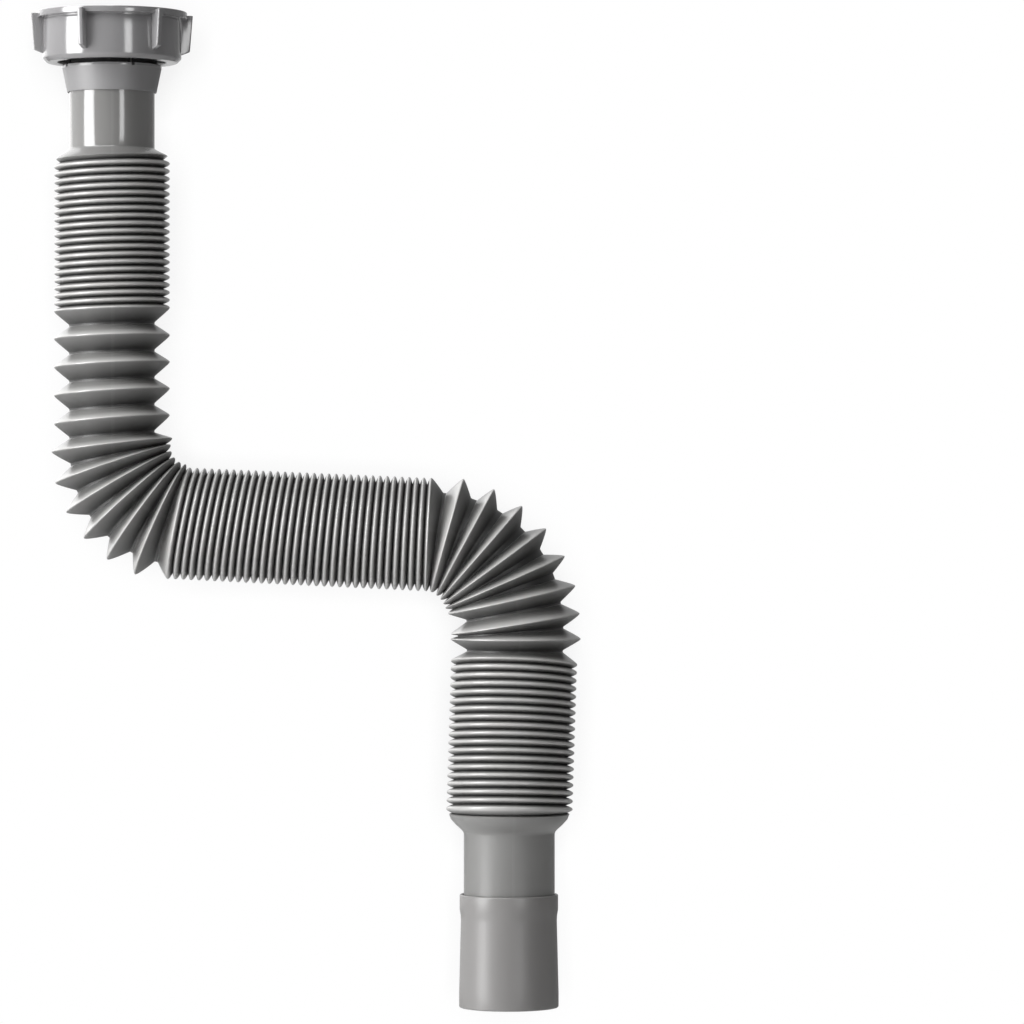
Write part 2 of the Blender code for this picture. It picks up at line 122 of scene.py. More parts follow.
class NutSizes(bpy.types.PropertyGroup):
    """Sizes of the union nut, the collar and the washer."""

    segments: count("Sides of the turned pieces", 128)
    nut_height: length("Height of the nut", 0.0201)
    nut_radius: length("Outer radius of the nut's body", 0.0277)
    rim_radius: length("Outer radius of the nut's rim", 0.0300)
    rim_height: length("Height of the nut's rim", 0.0024)
    rim_undercut: length("Depth of the fine groove under the rim", 0.0004)
    chamfer: length("Bevel at the foot of the nut", 0.0016)
    thread_major: length("Radius of the bottom of the thread", 0.0239)
    thread_minor: length("Radius of the crest of the thread", 0.02242)
    thread_pitch: length("Distance between the thread's turns", 0.002309)
    thread_turns: amount("Turns of the thread", 3.4)
    floor: length("Thickness of the nut's floor", 0.0025)
    hole_radius: length("Radius of the hole in the nut's floor", 0.0217)
    lug_reach: length("How far a lug stands out from the body at its top", 0.0048)
    lug_taper: length("How much less it stands out at its foot", 0.0012)
    lug_thickness: length("Thickness of a lug", 0.0022)
    lug_inset: length("From the nut's top to a lug's top", 0.0007)
    lug_length: length("Height of a lug", 0.0146)
    lug_foot: length("Height of a lug's slanted foot", 0.0018)
    first_lug: angle("Where the first lug stands round the nut", -108.7)
    collar_band: length("Outer radius of the collar's slotted band", 0.0198)
    collar_band_drop: length("How far the band shows under the nut", 0.0023)
    collar_groove: length("Depth of the groove that the nut's floor turns in", 0.0016)
    collar_gap: length("From the nut's foot down to the band's edge", 0.0012)
    collar_cone: length("Height of the collar's cone", 0.0097)
    collar_lip: length("Thickness of the cone's lower edge", 0.0004)
    hook_height: length("Height of the collar's hooks above the nut's floor", 0.0016)
    hook_radius: length("Outer radius of the collar's hooks", 0.0231)
    slot_width: length("Width of a slot in the collar's band", 0.0012)
    first_slot: angle("Where the first slot stands round the collar", -150.0)


class SleeveSizes(bpy.types.PropertyGroup):
    """Sizes of the outlet sleeve."""

    length: length("Height of the sleeve", 0.0452)
    top_radius: length("Outer radius of the sleeve's top bead", 0.0197)
    waist_radius: length("Outer radius of the sleeve's waist", 0.0192)
    foot_radius: length("Outer radius of the sleeve's foot", 0.0199)
    stop_width: length("How far the stop inside stands in from the bore", 0.0014)


class TrapColours(bpy.types.PropertyGroup):
    """Colours of the trap and of its stage."""

    nut: colour("Glossy grey plastic of the nut and collar", (0.235, 0.232, 0.236))
    hose: colour("Grey plastic of the hose", (0.235, 0.233, 0.228))
    sleeve: colour("Satin grey plastic of the outlet sleeve", (0.235, 0.229, 0.226))
    rubber: colour("Black rubber of the washer", (0.022, 0.022, 0.023))
    floor: colour("Pale floor", (0.80, 0.80, 0.80))


# Running gap between two pieces, in metres
CLEARANCE = 0.0003

# Turn that stands a flat primitive up, facing the camera
UPRIGHT = (math.pi / 2.0, 0.0, 0.0)


def heights():
    """Heights in the nut, worked out from its mouth down as the pieces stack up."""
    nut = bpy.context.scene.trap_nut
    floor_top = -nut.nut_height + nut.floor
    hook_bottom = floor_top + CLEARANCE
    hook_top = hook_bottom + nut.hook_height
    flange_bottom = hook_top + CLEARANCE
    flange_top = flange_bottom + bpy.context.scene.trap_hose.flange_thickness
    band_bottom = -nut.nut_height - nut.collar_band_drop
    return {
        "floor_top": floor_top,
        "hook_bottom": hook_bottom,
        "hook_top": hook_top,
        "flange_bottom": flange_bottom,
        "flange_top": flange_top,
        "band_bottom": band_bottom,
        "collar_bottom": band_bottom - nut.collar_cone,
    }


# Sides of the hose's round section, and where its front mould seam stands round it
HOSE_SIDES = 96
SEAM_ANGLE = math.radians(-84.5)

# Radius of the ring-shaped tube that a stretch starts from
SPIN_RADIUS = 0.03

# Course of the hose in degrees: headings from straight down towards +X, tilts of the fold planes,
# wedges by which a groove is wider outside a bend, and nods of the fold planes towards the front
UPPER_TILT = 2.0
OPEN_END_TILT = 4.5
UPPER_BEND_HEADINGS = (3.0, 78.0)
UPPER_BEND_TILTS = (6.5, 65.5)
MIDDLE_HEADINGS = (87.4, 87.4)
MIDDLE_TILTS = (78.7, 87.3)
LOWER_BEND_HEADINGS = (69.0, 21.0)
LOWER_BEND_TILTS = (74.2, 23.4)
# The second bend's last folds: tilt, next fold's tilt, heading, and gap to the next fold in metres.
# The stretch ends before the fold that tilts back.
LOWER_END_FOLDS = ((12.4, 9.0, 8.5, 0.0097), (9.0, 0.0, 1.0, 0.0061), (0.0, -1.0, -4.0, 0.0095))
LOWER_HEADINGS = (-1.8, -1.8)
LOWER_TILTS = (-2.0, -0.5)
LOWER_NODS = (6.0, 4.0)
UPPER_WEDGE = 1.6
LOWER_WEDGE = -3.4
OPEN_NOD = 1.2
BEND_NOD = 0.6

# Rounding of the flange's edges
FLANGE_EDGE = 0.0003

# Shoulders: how far they stay inside the crests, and shares of the way down and of the rise from the neck
UPPER_SHOULDER_INSET = 0.0009
LOWER_SHOULDER_INSET = 0.0012
UPPER_SHOULDER = ((0.1, 0.02), (0.25, 0.16), (0.5, 0.46), (0.75, 0.78), (0.88, 0.93), (1.0, 1.0))
LOWER_SHOULDER = ((0.02, 0.93), (0.06, 1.0), (0.3, 0.86), (0.55, 0.55), (0.78, 0.2), (0.9, 0.05))

# Thickness of a crest in walls: of a pulled-out fold and of a shut one
OPEN_CREST = 1.3
SHUT_CREST = 1.7

# Places of the rings on a fold's flank, as shares of the way from crest to groove
OPEN_SHARES = (0.022, 0.048, 0.08, 0.12, 0.18, 0.3, 0.5, 0.7, 0.83, 0.91, 0.955, 0.985)
SHUT_SHARES = (0.16, 0.32, 0.47, 0.61, 0.74, 0.87)

# Half the gap between two crests at which their folds are shut, and at which they are open
SHUT_SPACING = 0.0016
OPEN_SPACING = 0.0040

# Height of the wall for the finish, 0 in a groove and 1 on a crest. The finish turns it into painted shade in
# the grooves and a painted highlight on the crests; the neck stays just under the highlight and the inner
# skin takes a middle value. An open fold's lower flank, which faces down, loses some of it past the crest
# band as painted shade, and its upper flank falls by less.
FOLD_SHADE_HEIGHTS = {"crest": 1.0, "plain": 0.81, "groove": 0.0, "slit": 0.0}
INNER_SHADE_HEIGHT = 0.5
LOWER_FLANK_PAINTED_SHADE = 0.5
CREST_BAND = 0.1
UPPER_FLANK_PAINTED_SHADE = 0.38

# The nut's thread: how deep it sits in the wall, its foot as a share of the pitch, its crest as a share of
# the foot, its steps a turn, and its start below the nut's mouth
THREAD_SEAT = 0.0004
THREAD_FOOT = 0.74
THREAD_CREST = 0.16
THREAD_STEPS = 72
THREAD_START = 0.0019

# Lugs on the nut and how deep they sit in its wall, and slots in the collar
LUGS = 6
LUG_SEAT = 0.001
SLOTS = 4

# Slant at the tips of the collar's hooks, and how far a slot's cutter reaches past the collar's wall and top
HOOK_SLANT = 0.0006
SLOT_REACH = 0.002

# The collar's lip is wider by this, this far above its foot
LIP_SWELL = 0.0001
LIP_RISE = 0.0003

# Width of the washer's ring
WASHER_WIDTH = 0.0055

# Down from the sleeve's top: the end of its bead, the end of the bead's slope and the start of the waist.
# The slope ends this much wider than the waist, and the foot is straight for its height.
BEAD_HEIGHT = 0.0060
SLOPE_END = 0.0084
WAIST_START = 0.0104
SLOPE_SWELL = 0.0001
FOOT_HEIGHT = 0.0060


# Handling of objects, as by hand

def put_down_all():
    """Leave edit mode and deselect everything."""
    if bpy.context.mode != "OBJECT":
        bpy.ops.object.mode_set(mode="OBJECT")
    bpy.ops.object.select_all(action="DESELECT")


def pick_up(piece):
    """Make this the one selected and active object."""
    put_down_all()
    piece.select_set(True)
    bpy.context.view_layer.objects.active = piece


def edit(piece, everything=True):
    """Open the piece in edit mode, with all of it selected or nothing."""
    pick_up(piece)
    bpy.ops.object.mode_set(mode="EDIT")
    bpy.ops.mesh.select_all(action="SELECT" if everything else "DESELECT")


def close_edit():
    """Back to object mode."""
    bpy.ops.object.mode_set(mode="OBJECT")


def apply_modifier(piece, kind, **settings):
    """Add a modifier with these settings and apply it."""
    pick_up(piece)
    modifier = piece.modifiers.new(kind.title(), kind)
    for name, value in settings.items():
        setattr(modifier, name, value)
    bpy.ops.object.modifier_apply(modifier=modifier.name)


def settle(piece):
    """Move the piece's place into its mesh."""
    pick_up(piece)
    bpy.ops.object.transform_apply(location=True, rotation=True, scale=True)


def dress(piece, name, material, sharp_degrees):
    """Name the piece, give it its finish and shade it smoothly between its sharp edges."""
    piece.name = name
    piece.data.name = name
    piece.data.materials.clear()
    piece.data.materials.append(material)
    pick_up(piece)
    bpy.ops.object.shade_smooth_by_angle(angle=math.radians(sharp_degrees))


def sweep_round(piece, steps):
    """Sweep the piece's edges once round the upright line through the origin, and merge the ends."""
    apply_modifier(
        piece, "SCREW", axis="Z", angle=2.0 * math.pi, screw_offset=0.0, steps=steps, render_steps=steps,
        use_merge_vertices=True, merge_threshold=0.000001, use_smooth_shade=True,
    )


def turn_outline(outline, segments, axis_x=0.0):
    """Turn a closed outline of (radius, height) points about an upright line."""
    put_down_all()
    bpy.ops.mesh.primitive_circle_add(vertices=len(outline), radius=0.01)
    piece = bpy.context.active_object
    for vertex, (radius, height) in zip(piece.data.vertices, outline):
        vertex.co = (radius, 0.0, height)
    sweep_round(piece, segments)
    edit(piece)
    bpy.ops.mesh.normals_make_consistent(inside=False)
    bpy.ops.transform.translate(value=(axis_x, 0.0, 0.0))
    close_edit()
    return piece


def bevel_edges(piece, width, segments, degrees):
    """Round every edge that turns by more than this angle."""
    apply_modifier(
        piece, "BEVEL", width=width, segments=segments, limit_method="ANGLE",
        angle_limit=math.radians(degrees), harden_normals=False, use_clamp_overlap=True,
    )


def edit_corners(piece, chosen):
    """Open the piece in edit mode with the chosen vertices selected."""
    edit(piece, everything=False)
    bpy.context.tool_settings.mesh_select_mode = (True, False, False)
    close_edit()
    for vertex in piece.data.vertices:
        vertex.select = chosen(vertex.co)
    bpy.ops.object.mode_set(mode="EDIT")


def move_corners(piece, chosen, shift):
    """Move the chosen vertices of the piece."""
    edit_corners(piece, chosen)
    bpy.ops.transform.translate(value=shift)
    close_edit()


def add_block(low, high, turn, taper=0.0, foot=0.0):
    """A box between two corners, turned about the upright axis.

    The taper draws its lower outer edge in, and the foot lowers its inner edge into a slant.
    """
    put_down_all()
    centre = (Vector(low) + Vector(high)) / 2.0
    bpy.ops.mesh.primitive_cube_add(size=1.0, location=centre, scale=Vector(high) - Vector(low))
    block = bpy.context.active_object
    settle(block)
    if taper:
        move_corners(block, lambda at: at.z < centre.z and at.x > centre.x, (-taper, 0.0, 0.0))
    if foot:
        move_corners(block, lambda at: at.z < centre.z and at.x < centre.x, (0.0, 0.0, -foot))
    edit(block)
    bpy.ops.transform.rotate(value=-turn, orient_axis="Z", center_override=(0.0, 0.0, 0.0))
    close_edit()
    return block


def combine(piece, other, operation):
    """Join the other solid to the piece, or cut it away, and remove the other."""
    apply_modifier(piece, "BOOLEAN", operation=operation, solver="EXACT", object=other)
    bpy.data.objects.remove(other, do_unlink=True)


# Course of the hose

def blend_ends(ends, share):
    """The value this share of the way from the first to the second."""
    return ends[0] + (ends[1] - ends[0]) * share


class Place:
    """A ring's place on the hose: its centre, lean and radius, or its radii where they differ."""

    def __init__(self, point, tilt, nod, radius, radii=None):
        self.point = point
        self.tilt = tilt
        self.nod = nod
        self.radius = radius
        self.radii = radii

    def towards(self, other, share, radii):
        """A place between this one and another, with these radii."""
        return Place(
            self.point.lerp(other.point, share),
            blend_ends((self.tilt, other.tilt), share),
            blend_ends((self.nod, other.nod), share),
            blend_ends((self.radius, other.radius), share),
            radii,
        )

    def circle(self):
        """Points round the ring, the first towards +X."""
        radii = self.radii or [self.radius] * HOSE_SIDES
        tilt = math.radians(self.tilt)
        nod = math.radians(self.nod)
        across = Vector((math.cos(tilt), 0.0, math.sin(tilt)))
        along = Vector((math.sin(tilt), 0.0, -math.cos(tilt)))
        deep = math.cos(nod) * Vector((0.0, 1.0, 0.0)) + math.sin(nod) * along
        points = []
        for side in range(HOSE_SIDES):
            turn = 2.0 * math.pi * side / HOSE_SIDES
            points.append(self.point + radii[side] * (math.cos(turn) * across + math.sin(turn) * deep))
        return points


def open_height(share):
    """Height of a pulled-out fold's flank, 1 at the crest and 0 at the groove, rounded at both."""
    tip = 0.10
    foot = 0.05
    drop = (math.hypot(share, tip) - tip) / (math.hypot(1.0, tip) - tip)
    return (math.hypot(1.0 - drop, foot) - foot) / (math.hypot(1.0, foot) - foot)


def shut_height(share):
    """Height of a shut fold's flank, 1 at the crest and 0 in the slit: a round top over steep sides."""
    return (1.0 - share ** 2.2) ** 1.1


class Turn:
    """A place where the hose's wall turns: its outer and inner ring, and the flank that follows it."""

    def __init__(self, kind, outer, inner, travel, flank):
        self.kind = kind
        self.outer = outer
        self.inner = inner
        self.travel = travel
        self.flank = flank
        self.ease = [1.0] * HOSE_SIDES
        self.pressed = None

    def set_ease(self, before, after, slit_depth):
        """Work out how far this groove is open, side by side, between the crests before and after it."""
        self.pressed = (before.outer.radius + after.outer.radius) / 2.0 - slit_depth
        self.ease = []
        for near, far in zip(before.outer.circle(), after.outer.circle()):
            share = ((near - far).length / 2.0 - SHUT_SPACING) / (OPEN_SPACING - SHUT_SPACING)
            share = min(max(share, 0.0), 1.0)
            self.ease.append(share * share * (3.0 - 2.0 * share))
        self.outer.radii = [blend_ends((self.pressed, self.outer.radius), ease) for ease in self.ease]


class HoseWalk:
    """Walks down the middle line of the hose and notes where its wall turns, stretch by stretch."""

    def __init__(self, sizes, start):
        self.sizes = sizes
        self.point = start
        self.heading = 0.0
        self.travel = 0.0
        self.turns = []
        self.seams = [0]

    def step(self, distance):
        """Move on along the heading."""
        turn = math.radians(self.heading)
        self.point = self.point + distance * Vector((math.sin(turn), 0.0, -math.cos(turn)))
        self.travel += distance

    def turn(self, outer, inner=None, flank="straight", tilt=0.0, nod=0.0, kind="plain"):
        """Note that the wall turns here. An inner radius of None leaves the inner skin as it runs."""
        rings = []
        for radius in (outer, inner):
            rings.append(None if radius is None else Place(self.point.copy(), tilt, nod, radius))
        self.turns.append(Turn(kind, rings[0], rings[1], self.travel, flank))

    def groove(self, root, tilt, land, wedge):
        """An open groove: a narrow land, made wider outside the bend by the wedge angle."""
        bore = root - self.sizes.wall
        self.step(-land / 2.0)
        self.turn(root, bore, "straight", tilt - wedge / 2.0, kind="groove")
        self.step(land)
        self.turn(root, bore, "open", tilt + wedge / 2.0, kind="groove")
        self.step(-land / 2.0)

    def crest(self, radius, thickness, flank, tilt, nod=0.0):
        """The top of a fold."""
        self.turn(radius, radius - thickness, flank, tilt, nod, kind="crest")

    def groove_between(self, before, after, root, tilt, land, wedge=0.0, seam=True):
        """Move on to an open groove, end the stretch there if it is a seam, and move on past it."""
        self.step(before)
        self.groove(root, tilt, land, wedge)
        if seam:
            self.seams.append(len(self.turns) - 1)
        self.step(after)

    def open_folds(self, count, pitch, headings, tilts, crests, roots, land, wedge=0.0, nod=0.0):
        """Pulled-out folds a pitch apart, with their grooves a little past halfway."""
        shift = self.sizes.groove_shift
        for index in range(count):
            share = index / (count - 1)
            tilt = blend_ends(tilts, share)
            self.crest(blend_ends(crests, share), OPEN_CREST * self.sizes.wall, "open", tilt, nod)
            self.heading = blend_ends(headings, share)
            if index < count - 1:
                halfway = (index + 0.5) / (count - 1)
                self.groove_between(
                    pitch / 2.0 + shift, pitch / 2.0 - shift,
                    blend_ends(roots, halfway), blend_ends(tilts, halfway), land, wedge, seam=False,
                )

    def shut_folds(self, count, pitch, headings, tilts, crest, root, nods=(0.0, 0.0), last="open"):
        """Shut folds a pitch apart, with a slit between each two."""
        for index in range(count):
            share = index / (count - 1)
            nod = blend_ends(nods, share)
            flank = "shut" if index < count - 1 else last
            self.crest(crest, SHUT_CREST * self.sizes.wall, flank, blend_ends(tilts, share), nod)
            self.heading = blend_ends(headings, share)
            if index < count - 1:
                tilt = blend_ends(tilts, (index + 0.5) / (count - 1))
                slit = crest - self.sizes.slit_depth
                self.step(pitch / 2.0)
                self.turn(slit, root - self.sizes.wall, "shut", tilt, nod, kind="slit")
                self.step(pitch / 2.0)

    def stretches(self):
        """The turns of each stretch, once every groove knows how far it is open."""
        for index, turn in enumerate(self.turns):
            if turn.kind == "groove":
                before = next(other for other in self.turns[index::-1] if other.kind == "crest")
                after = next(other for other in self.turns[index:] if other.kind == "crest")
                turn.set_ease(before, after, self.sizes.slit_depth)
        ends = self.seams + [len(self.turns) - 1]
        return [self.turns[first:last + 1] for first, last in zip(ends, ends[1:])]


def flank_rings(before, after):
    """Rings between two turns of the wall, each with its share of the way and its height for the painted
    shade.
    """
    if before.flank == "straight":
        return []
    rising = after.kind == "crest"
    crest = (after if rising else before).outer.radius
    groove = before if rising else after
    rings = []
    for share in OPEN_SHARES if before.flank == "open" else SHUT_SHARES:
        pressed_height = shut_height(share)
        if before.flank == "open":
            pulled = blend_ends((groove.outer.radius, crest), open_height(share))
            pressed = blend_ends((groove.pressed, crest), pressed_height)
            radii = [blend_ends((pressed, pulled), ease) for ease in groove.ease]
            height = open_height(share)
            # Painted shade: the upper flank keeps most of its height, and the lower flank, facing down, loses
            # half of it past the crest band.
            if rising:
                height = 1.0 - UPPER_FLANK_PAINTED_SHADE * (1.0 - height)
            else:
                height *= 1.0 - LOWER_FLANK_PAINTED_SHADE * min(share / CREST_BAND, 1.0)
        else:
            radii = [blend_ends((groove.outer.radius, crest), pressed_height)] * HOSE_SIDES
            height = pressed_height
        way = 1.0 - share if rising else share
        rings.append((before.outer.towards(after.outer, way, radii), way, height))
    return rings[::-1] if rising else rings


def skin_rings(turns):
    """Rings of a stretch, down the outer skin and back up the inner one, with their travels and heights."""
    rings = []
    outer_turns = [turn for turn in turns if turn.outer is not None]
    for before, after in zip(outer_turns, outer_turns[1:]):
        rings.append((before.outer, before.travel, FOLD_SHADE_HEIGHTS[before.kind]))
        for place, way, height in flank_rings(before, after):
            rings.append((place, blend_ends((before.travel, after.travel), way), height))
    last = outer_turns[-1]
    rings.append((last.outer, last.travel, FOLD_SHADE_HEIGHTS[last.kind]))
    for turn in turns[::-1]:
        if turn.inner is not None:
            rings.append((turn.inner, turn.travel, INNER_SHADE_HEIGHT))
    return rings


def spun_tube(ring_count):
    """A ring-shaped tube: a circle spun all the way round. Returns it with each vertex's ring and side."""
    put_down_all()
    bpy.ops.mesh.primitive_circle_add(
        vertices=HOSE_SIDES, radius=0.01, location=(SPIN_RADIUS, 0.0, 0.0), rotation=UPRIGHT,
    )
    piece = bpy.context.active_object
    settle(piece)
    sweep_round(piece, ring_count)
    seats = []
    for vertex in piece.data.vertices:
        x, y, z = vertex.co
        ring = math.atan2(y, x) / (2.0 * math.pi) * ring_count
        side = math.atan2(z, math.hypot(x, y) - SPIN_RADIUS) / (2.0 * math.pi) * HOSE_SIDES
        seats.append((round(ring) % ring_count, round(side) % HOSE_SIDES))
    if len(set(seats)) != ring_count * HOSE_SIDES or len(seats) != ring_count * HOSE_SIDES:
        raise RuntimeError("the spun tube hasn't one vertex for each ring and side")
    return piece, seats


def build_stretch(turns, name, material):
    """Skin a stretch: a spun tube of as many rings, each set in its place.

    Returns it with the travel and tilt of each vertex.
    """
    rings = skin_rings(turns)
    piece, seats = spun_tube(len(rings))
    circles = [place.circle() for place, travel, height in rings]
    places = []
    for ring, side in seats:
        places.extend(circles[ring][side])
    piece.data.vertices.foreach_set("co", places)
    # Each ring's height, which the finish turns into painted shade in the grooves and a painted highlight on
    # the crests.
    shade_heights_there = [rings[ring][2] for ring, side in seats]
    seam_there = [math.cos(2.0 * math.pi * side / HOSE_SIDES - SEAM_ANGLE) for ring, side in seats]
    for label, values in (("fold_height_shade", shade_heights_there), ("mould_seam", seam_there)):
        attribute = piece.data.attributes.new(label, "FLOAT", "POINT")
        attribute.data.foreach_set("value", values)
    piece.data.update()
    dress(piece, name, material, sharp_degrees=62.0)
    return piece, [(rings[ring][1], rings[ring][0].tilt) for ring, side in seats]


def bend_between(piece, ways, first_body, second_body):
    """Bake the stretch's place into its mesh."""
    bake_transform(piece)


def walk_inlet(walk, sizes):
    """Flange, neck and shoulder at the top of the hose."""
    levels = heights()
    neck = sizes.neck_radius
    bore = neck - sizes.wall
    flange = sizes.flange_radius
    edge = FLANGE_EDGE
    walk.turn(bore + edge, bore)
    for radius, drop in (
        (flange - edge, edge), (flange, sizes.flange_thickness - 2.0 * edge), (flange, edge),
        (flange - edge, 0.0), (neck + edge, edge),
    ):
        walk.turn(radius)
        walk.step(drop)
    walk.turn(neck)
    neck_bottom = levels["collar_bottom"] - sizes.upper_neck
    walk.step(levels["flange_bottom"] - edge - neck_bottom)
    walk.turn(neck, bore)
    shoulder = sizes.upper_crest - UPPER_SHOULDER_INSET
    at = 0.0
    for share, rise in UPPER_SHOULDER:
        walk.step((share - at) * sizes.upper_cone)
        at = share
        walk.turn(blend_ends((neck, shoulder), rise), tilt=UPPER_TILT * share)
    walk.step(sizes.closed_pitch / 2.0)
    walk.turn(sizes.upper_crest - sizes.slit_depth, bore, "shut", UPPER_TILT, kind="slit")
    walk.step(sizes.closed_pitch / 2.0)


def walk_outlet(walk, sizes):
    """Shoulder and neck at the bottom of the hose."""
    neck = sizes.lower_neck_radius
    walk.turn(sizes.lower_crest - sizes.slit_depth, sizes.lower_root - sizes.wall, kind="slit")
    walk.heading = 0.0
    shoulder = sizes.lower_crest - LOWER_SHOULDER_INSET
    at = 0.0
    for share, rise in LOWER_SHOULDER:
        walk.step((share - at) * sizes.lower_cone)
        at = share
        walk.turn(blend_ends((neck, shoulder), rise))
    walk.step((1.0 - at) * sizes.lower_cone)
    walk.turn(neck, neck - sizes.wall)
    walk.step(sizes.lower_neck_length + sizes.engagement)
    walk.turn(neck, neck - sizes.wall)


def walk_hose(sizes):
    """The whole course of the hose, with its seams."""
    neck = sizes.neck_radius
    low = sizes.lower_root
    to_groove = sizes.open_pitch / 2.0 + sizes.groove_shift
    from_groove = sizes.open_pitch / 2.0 - sizes.groove_shift
    half_bend = sizes.bend_pitch / 2.0
    walk = HoseWalk(sizes, Vector((0.0, 0.0, heights()["flange_top"])))
    walk_inlet(walk, sizes)
    walk.shut_folds(
        sizes.upper_folds, sizes.closed_pitch, (0.0, 0.0), (UPPER_TILT, UPPER_TILT), sizes.upper_crest, neck,
    )
    walk.groove_between(to_groove, from_groove, neck, UPPER_TILT, sizes.open_land)
    walk.open_folds(
        sizes.open_folds, sizes.open_pitch, (0.0, 0.0), (UPPER_TILT, OPEN_END_TILT),
        (sizes.upper_crest, sizes.upper_crest), (neck, neck), sizes.open_land, nod=OPEN_NOD,
    )
    lead = sizes.upper_bend_lead - sizes.groove_shift
    walk.groove_between(to_groove, lead, neck, OPEN_END_TILT, sizes.open_land)
    crest = sizes.upper_bend_crest
    walk.open_folds(
        sizes.upper_bend_folds, sizes.bend_pitch, UPPER_BEND_HEADINGS, UPPER_BEND_TILTS,
        (crest, crest), (neck, neck), sizes.open_land, UPPER_WEDGE, BEND_NOD,
    )
    tilt = (UPPER_BEND_TILTS[1] + MIDDLE_TILTS[0]) / 2.0
    walk.groove_between(half_bend, half_bend, neck, tilt, sizes.open_land, UPPER_WEDGE)
    walk.shut_folds(
        sizes.middle_folds, sizes.closed_pitch, MIDDLE_HEADINGS, MIDDLE_TILTS, sizes.middle_crest, neck,
    )
    tilt = (MIDDLE_TILTS[1] + LOWER_BEND_TILTS[0]) / 2.0
    walk.groove_between(half_bend, half_bend, neck, tilt, sizes.open_land, -UPPER_WEDGE)
    walk.open_folds(
        sizes.lower_bend_folds, sizes.bend_pitch, LOWER_BEND_HEADINGS, LOWER_BEND_TILTS,
        (sizes.lower_bend_first_crest, sizes.lower_bend_crest), (neck, low), sizes.wide_land, LOWER_WEDGE,
    )
    tilt = (LOWER_BEND_TILTS[1] + LOWER_END_FOLDS[0][0]) / 2.0
    walk.groove_between(half_bend, half_bend, low, tilt, sizes.wide_land, LOWER_WEDGE, seam=False)
    for tilt, next_tilt, heading, gap in LOWER_END_FOLDS:
        walk.crest(sizes.lower_bend_crest, OPEN_CREST * sizes.wall, "open", tilt)
        walk.heading = heading
        half = gap / 2.0
        walk.groove_between(half, half, low, (tilt + next_tilt) / 2.0, sizes.open_land, seam=next_tilt < 0.0)
    walk.shut_folds(
        sizes.lower_folds, sizes.lower_pitch, LOWER_HEADINGS, LOWER_TILTS, sizes.lower_crest, low, LOWER_NODS,
        last="shut",
    )
    walk.step(sizes.lower_pitch / 2.0)
    walk_outlet(walk, sizes)
    return walk


def build_hose(context):
    """The hose in its six stretches, which meet at groove rings."""
    sizes = context.scene.trap_hose
    material = hose_finish(context.scene.trap_colours)
    nodes = (
        "hose_upper_run", "hose_open_folds", "hose_upper_bend",
        "hose_middle_run", "hose_lower_bend", "hose_lower_run",
    )
    built = {}
    for node, turns in zip(nodes, walk_hose(sizes).stretches()):
        piece, ways = build_stretch(turns, node + "_skin", material)
        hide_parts(node)
        built[node] = (piece, ways)
    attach(built["hose_upper_run"][0], "inlet")
    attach(built["hose_middle_run"][0], "cross_run")
    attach(built["hose_lower_run"][0], "outlet")
    bend_between(*built["hose_open_folds"], "inlet", "elbow")
    bend_between(*built["hose_upper_bend"], "elbow", "cross_run")
    bend_between(*built["hose_lower_bend"], "cross_run", "outlet")


# Turned and moulded pieces

def thread_ridge(sizes):
    """The nut's inner thread: a ridge drawn as a plane and wound round the bore."""
    put_down_all()
    reach = sizes.thread_major + THREAD_SEAT - sizes.thread_minor
    middle = sizes.thread_minor + reach / 2.0
    steps = int(THREAD_STEPS * sizes.thread_turns)
    bpy.ops.mesh.primitive_plane_add(size=1.0, location=(middle, 0.0, 0.0), rotation=UPRIGHT)
    ridge = bpy.context.active_object
    ridge.scale = (reach, sizes.thread_pitch * THREAD_FOOT, 1.0)
    settle(ridge)
    edit_corners(ridge, lambda at: at.x < middle)
    bpy.ops.transform.resize(value=(1.0, 1.0, THREAD_CREST), center_override=(sizes.thread_minor, 0.0, 0.0))
    close_edit()
    apply_modifier(
        ridge, "SCREW", axis="Z", angle=2.0 * math.pi * sizes.thread_turns,
        screw_offset=-sizes.thread_pitch * sizes.thread_turns, steps=steps, render_steps=steps,
        use_smooth_shade=True, use_merge_vertices=False,
    )
    edit(ridge, everything=False)
    bpy.context.tool_settings.mesh_select_mode = (False, True, False)
    bpy.ops.mesh.select_non_manifold(
        extend=False, use_wire=False, use_multi_face=False, use_non_contiguous=False,
    )
    bpy.ops.mesh.fill()
    bpy.ops.mesh.select_all(action="SELECT")
    bpy.ops.mesh.normals_make_consistent(inside=False)
    bpy.ops.transform.translate(value=(0.0, 0.0, -THREAD_START))
    close_edit()
    return ridge


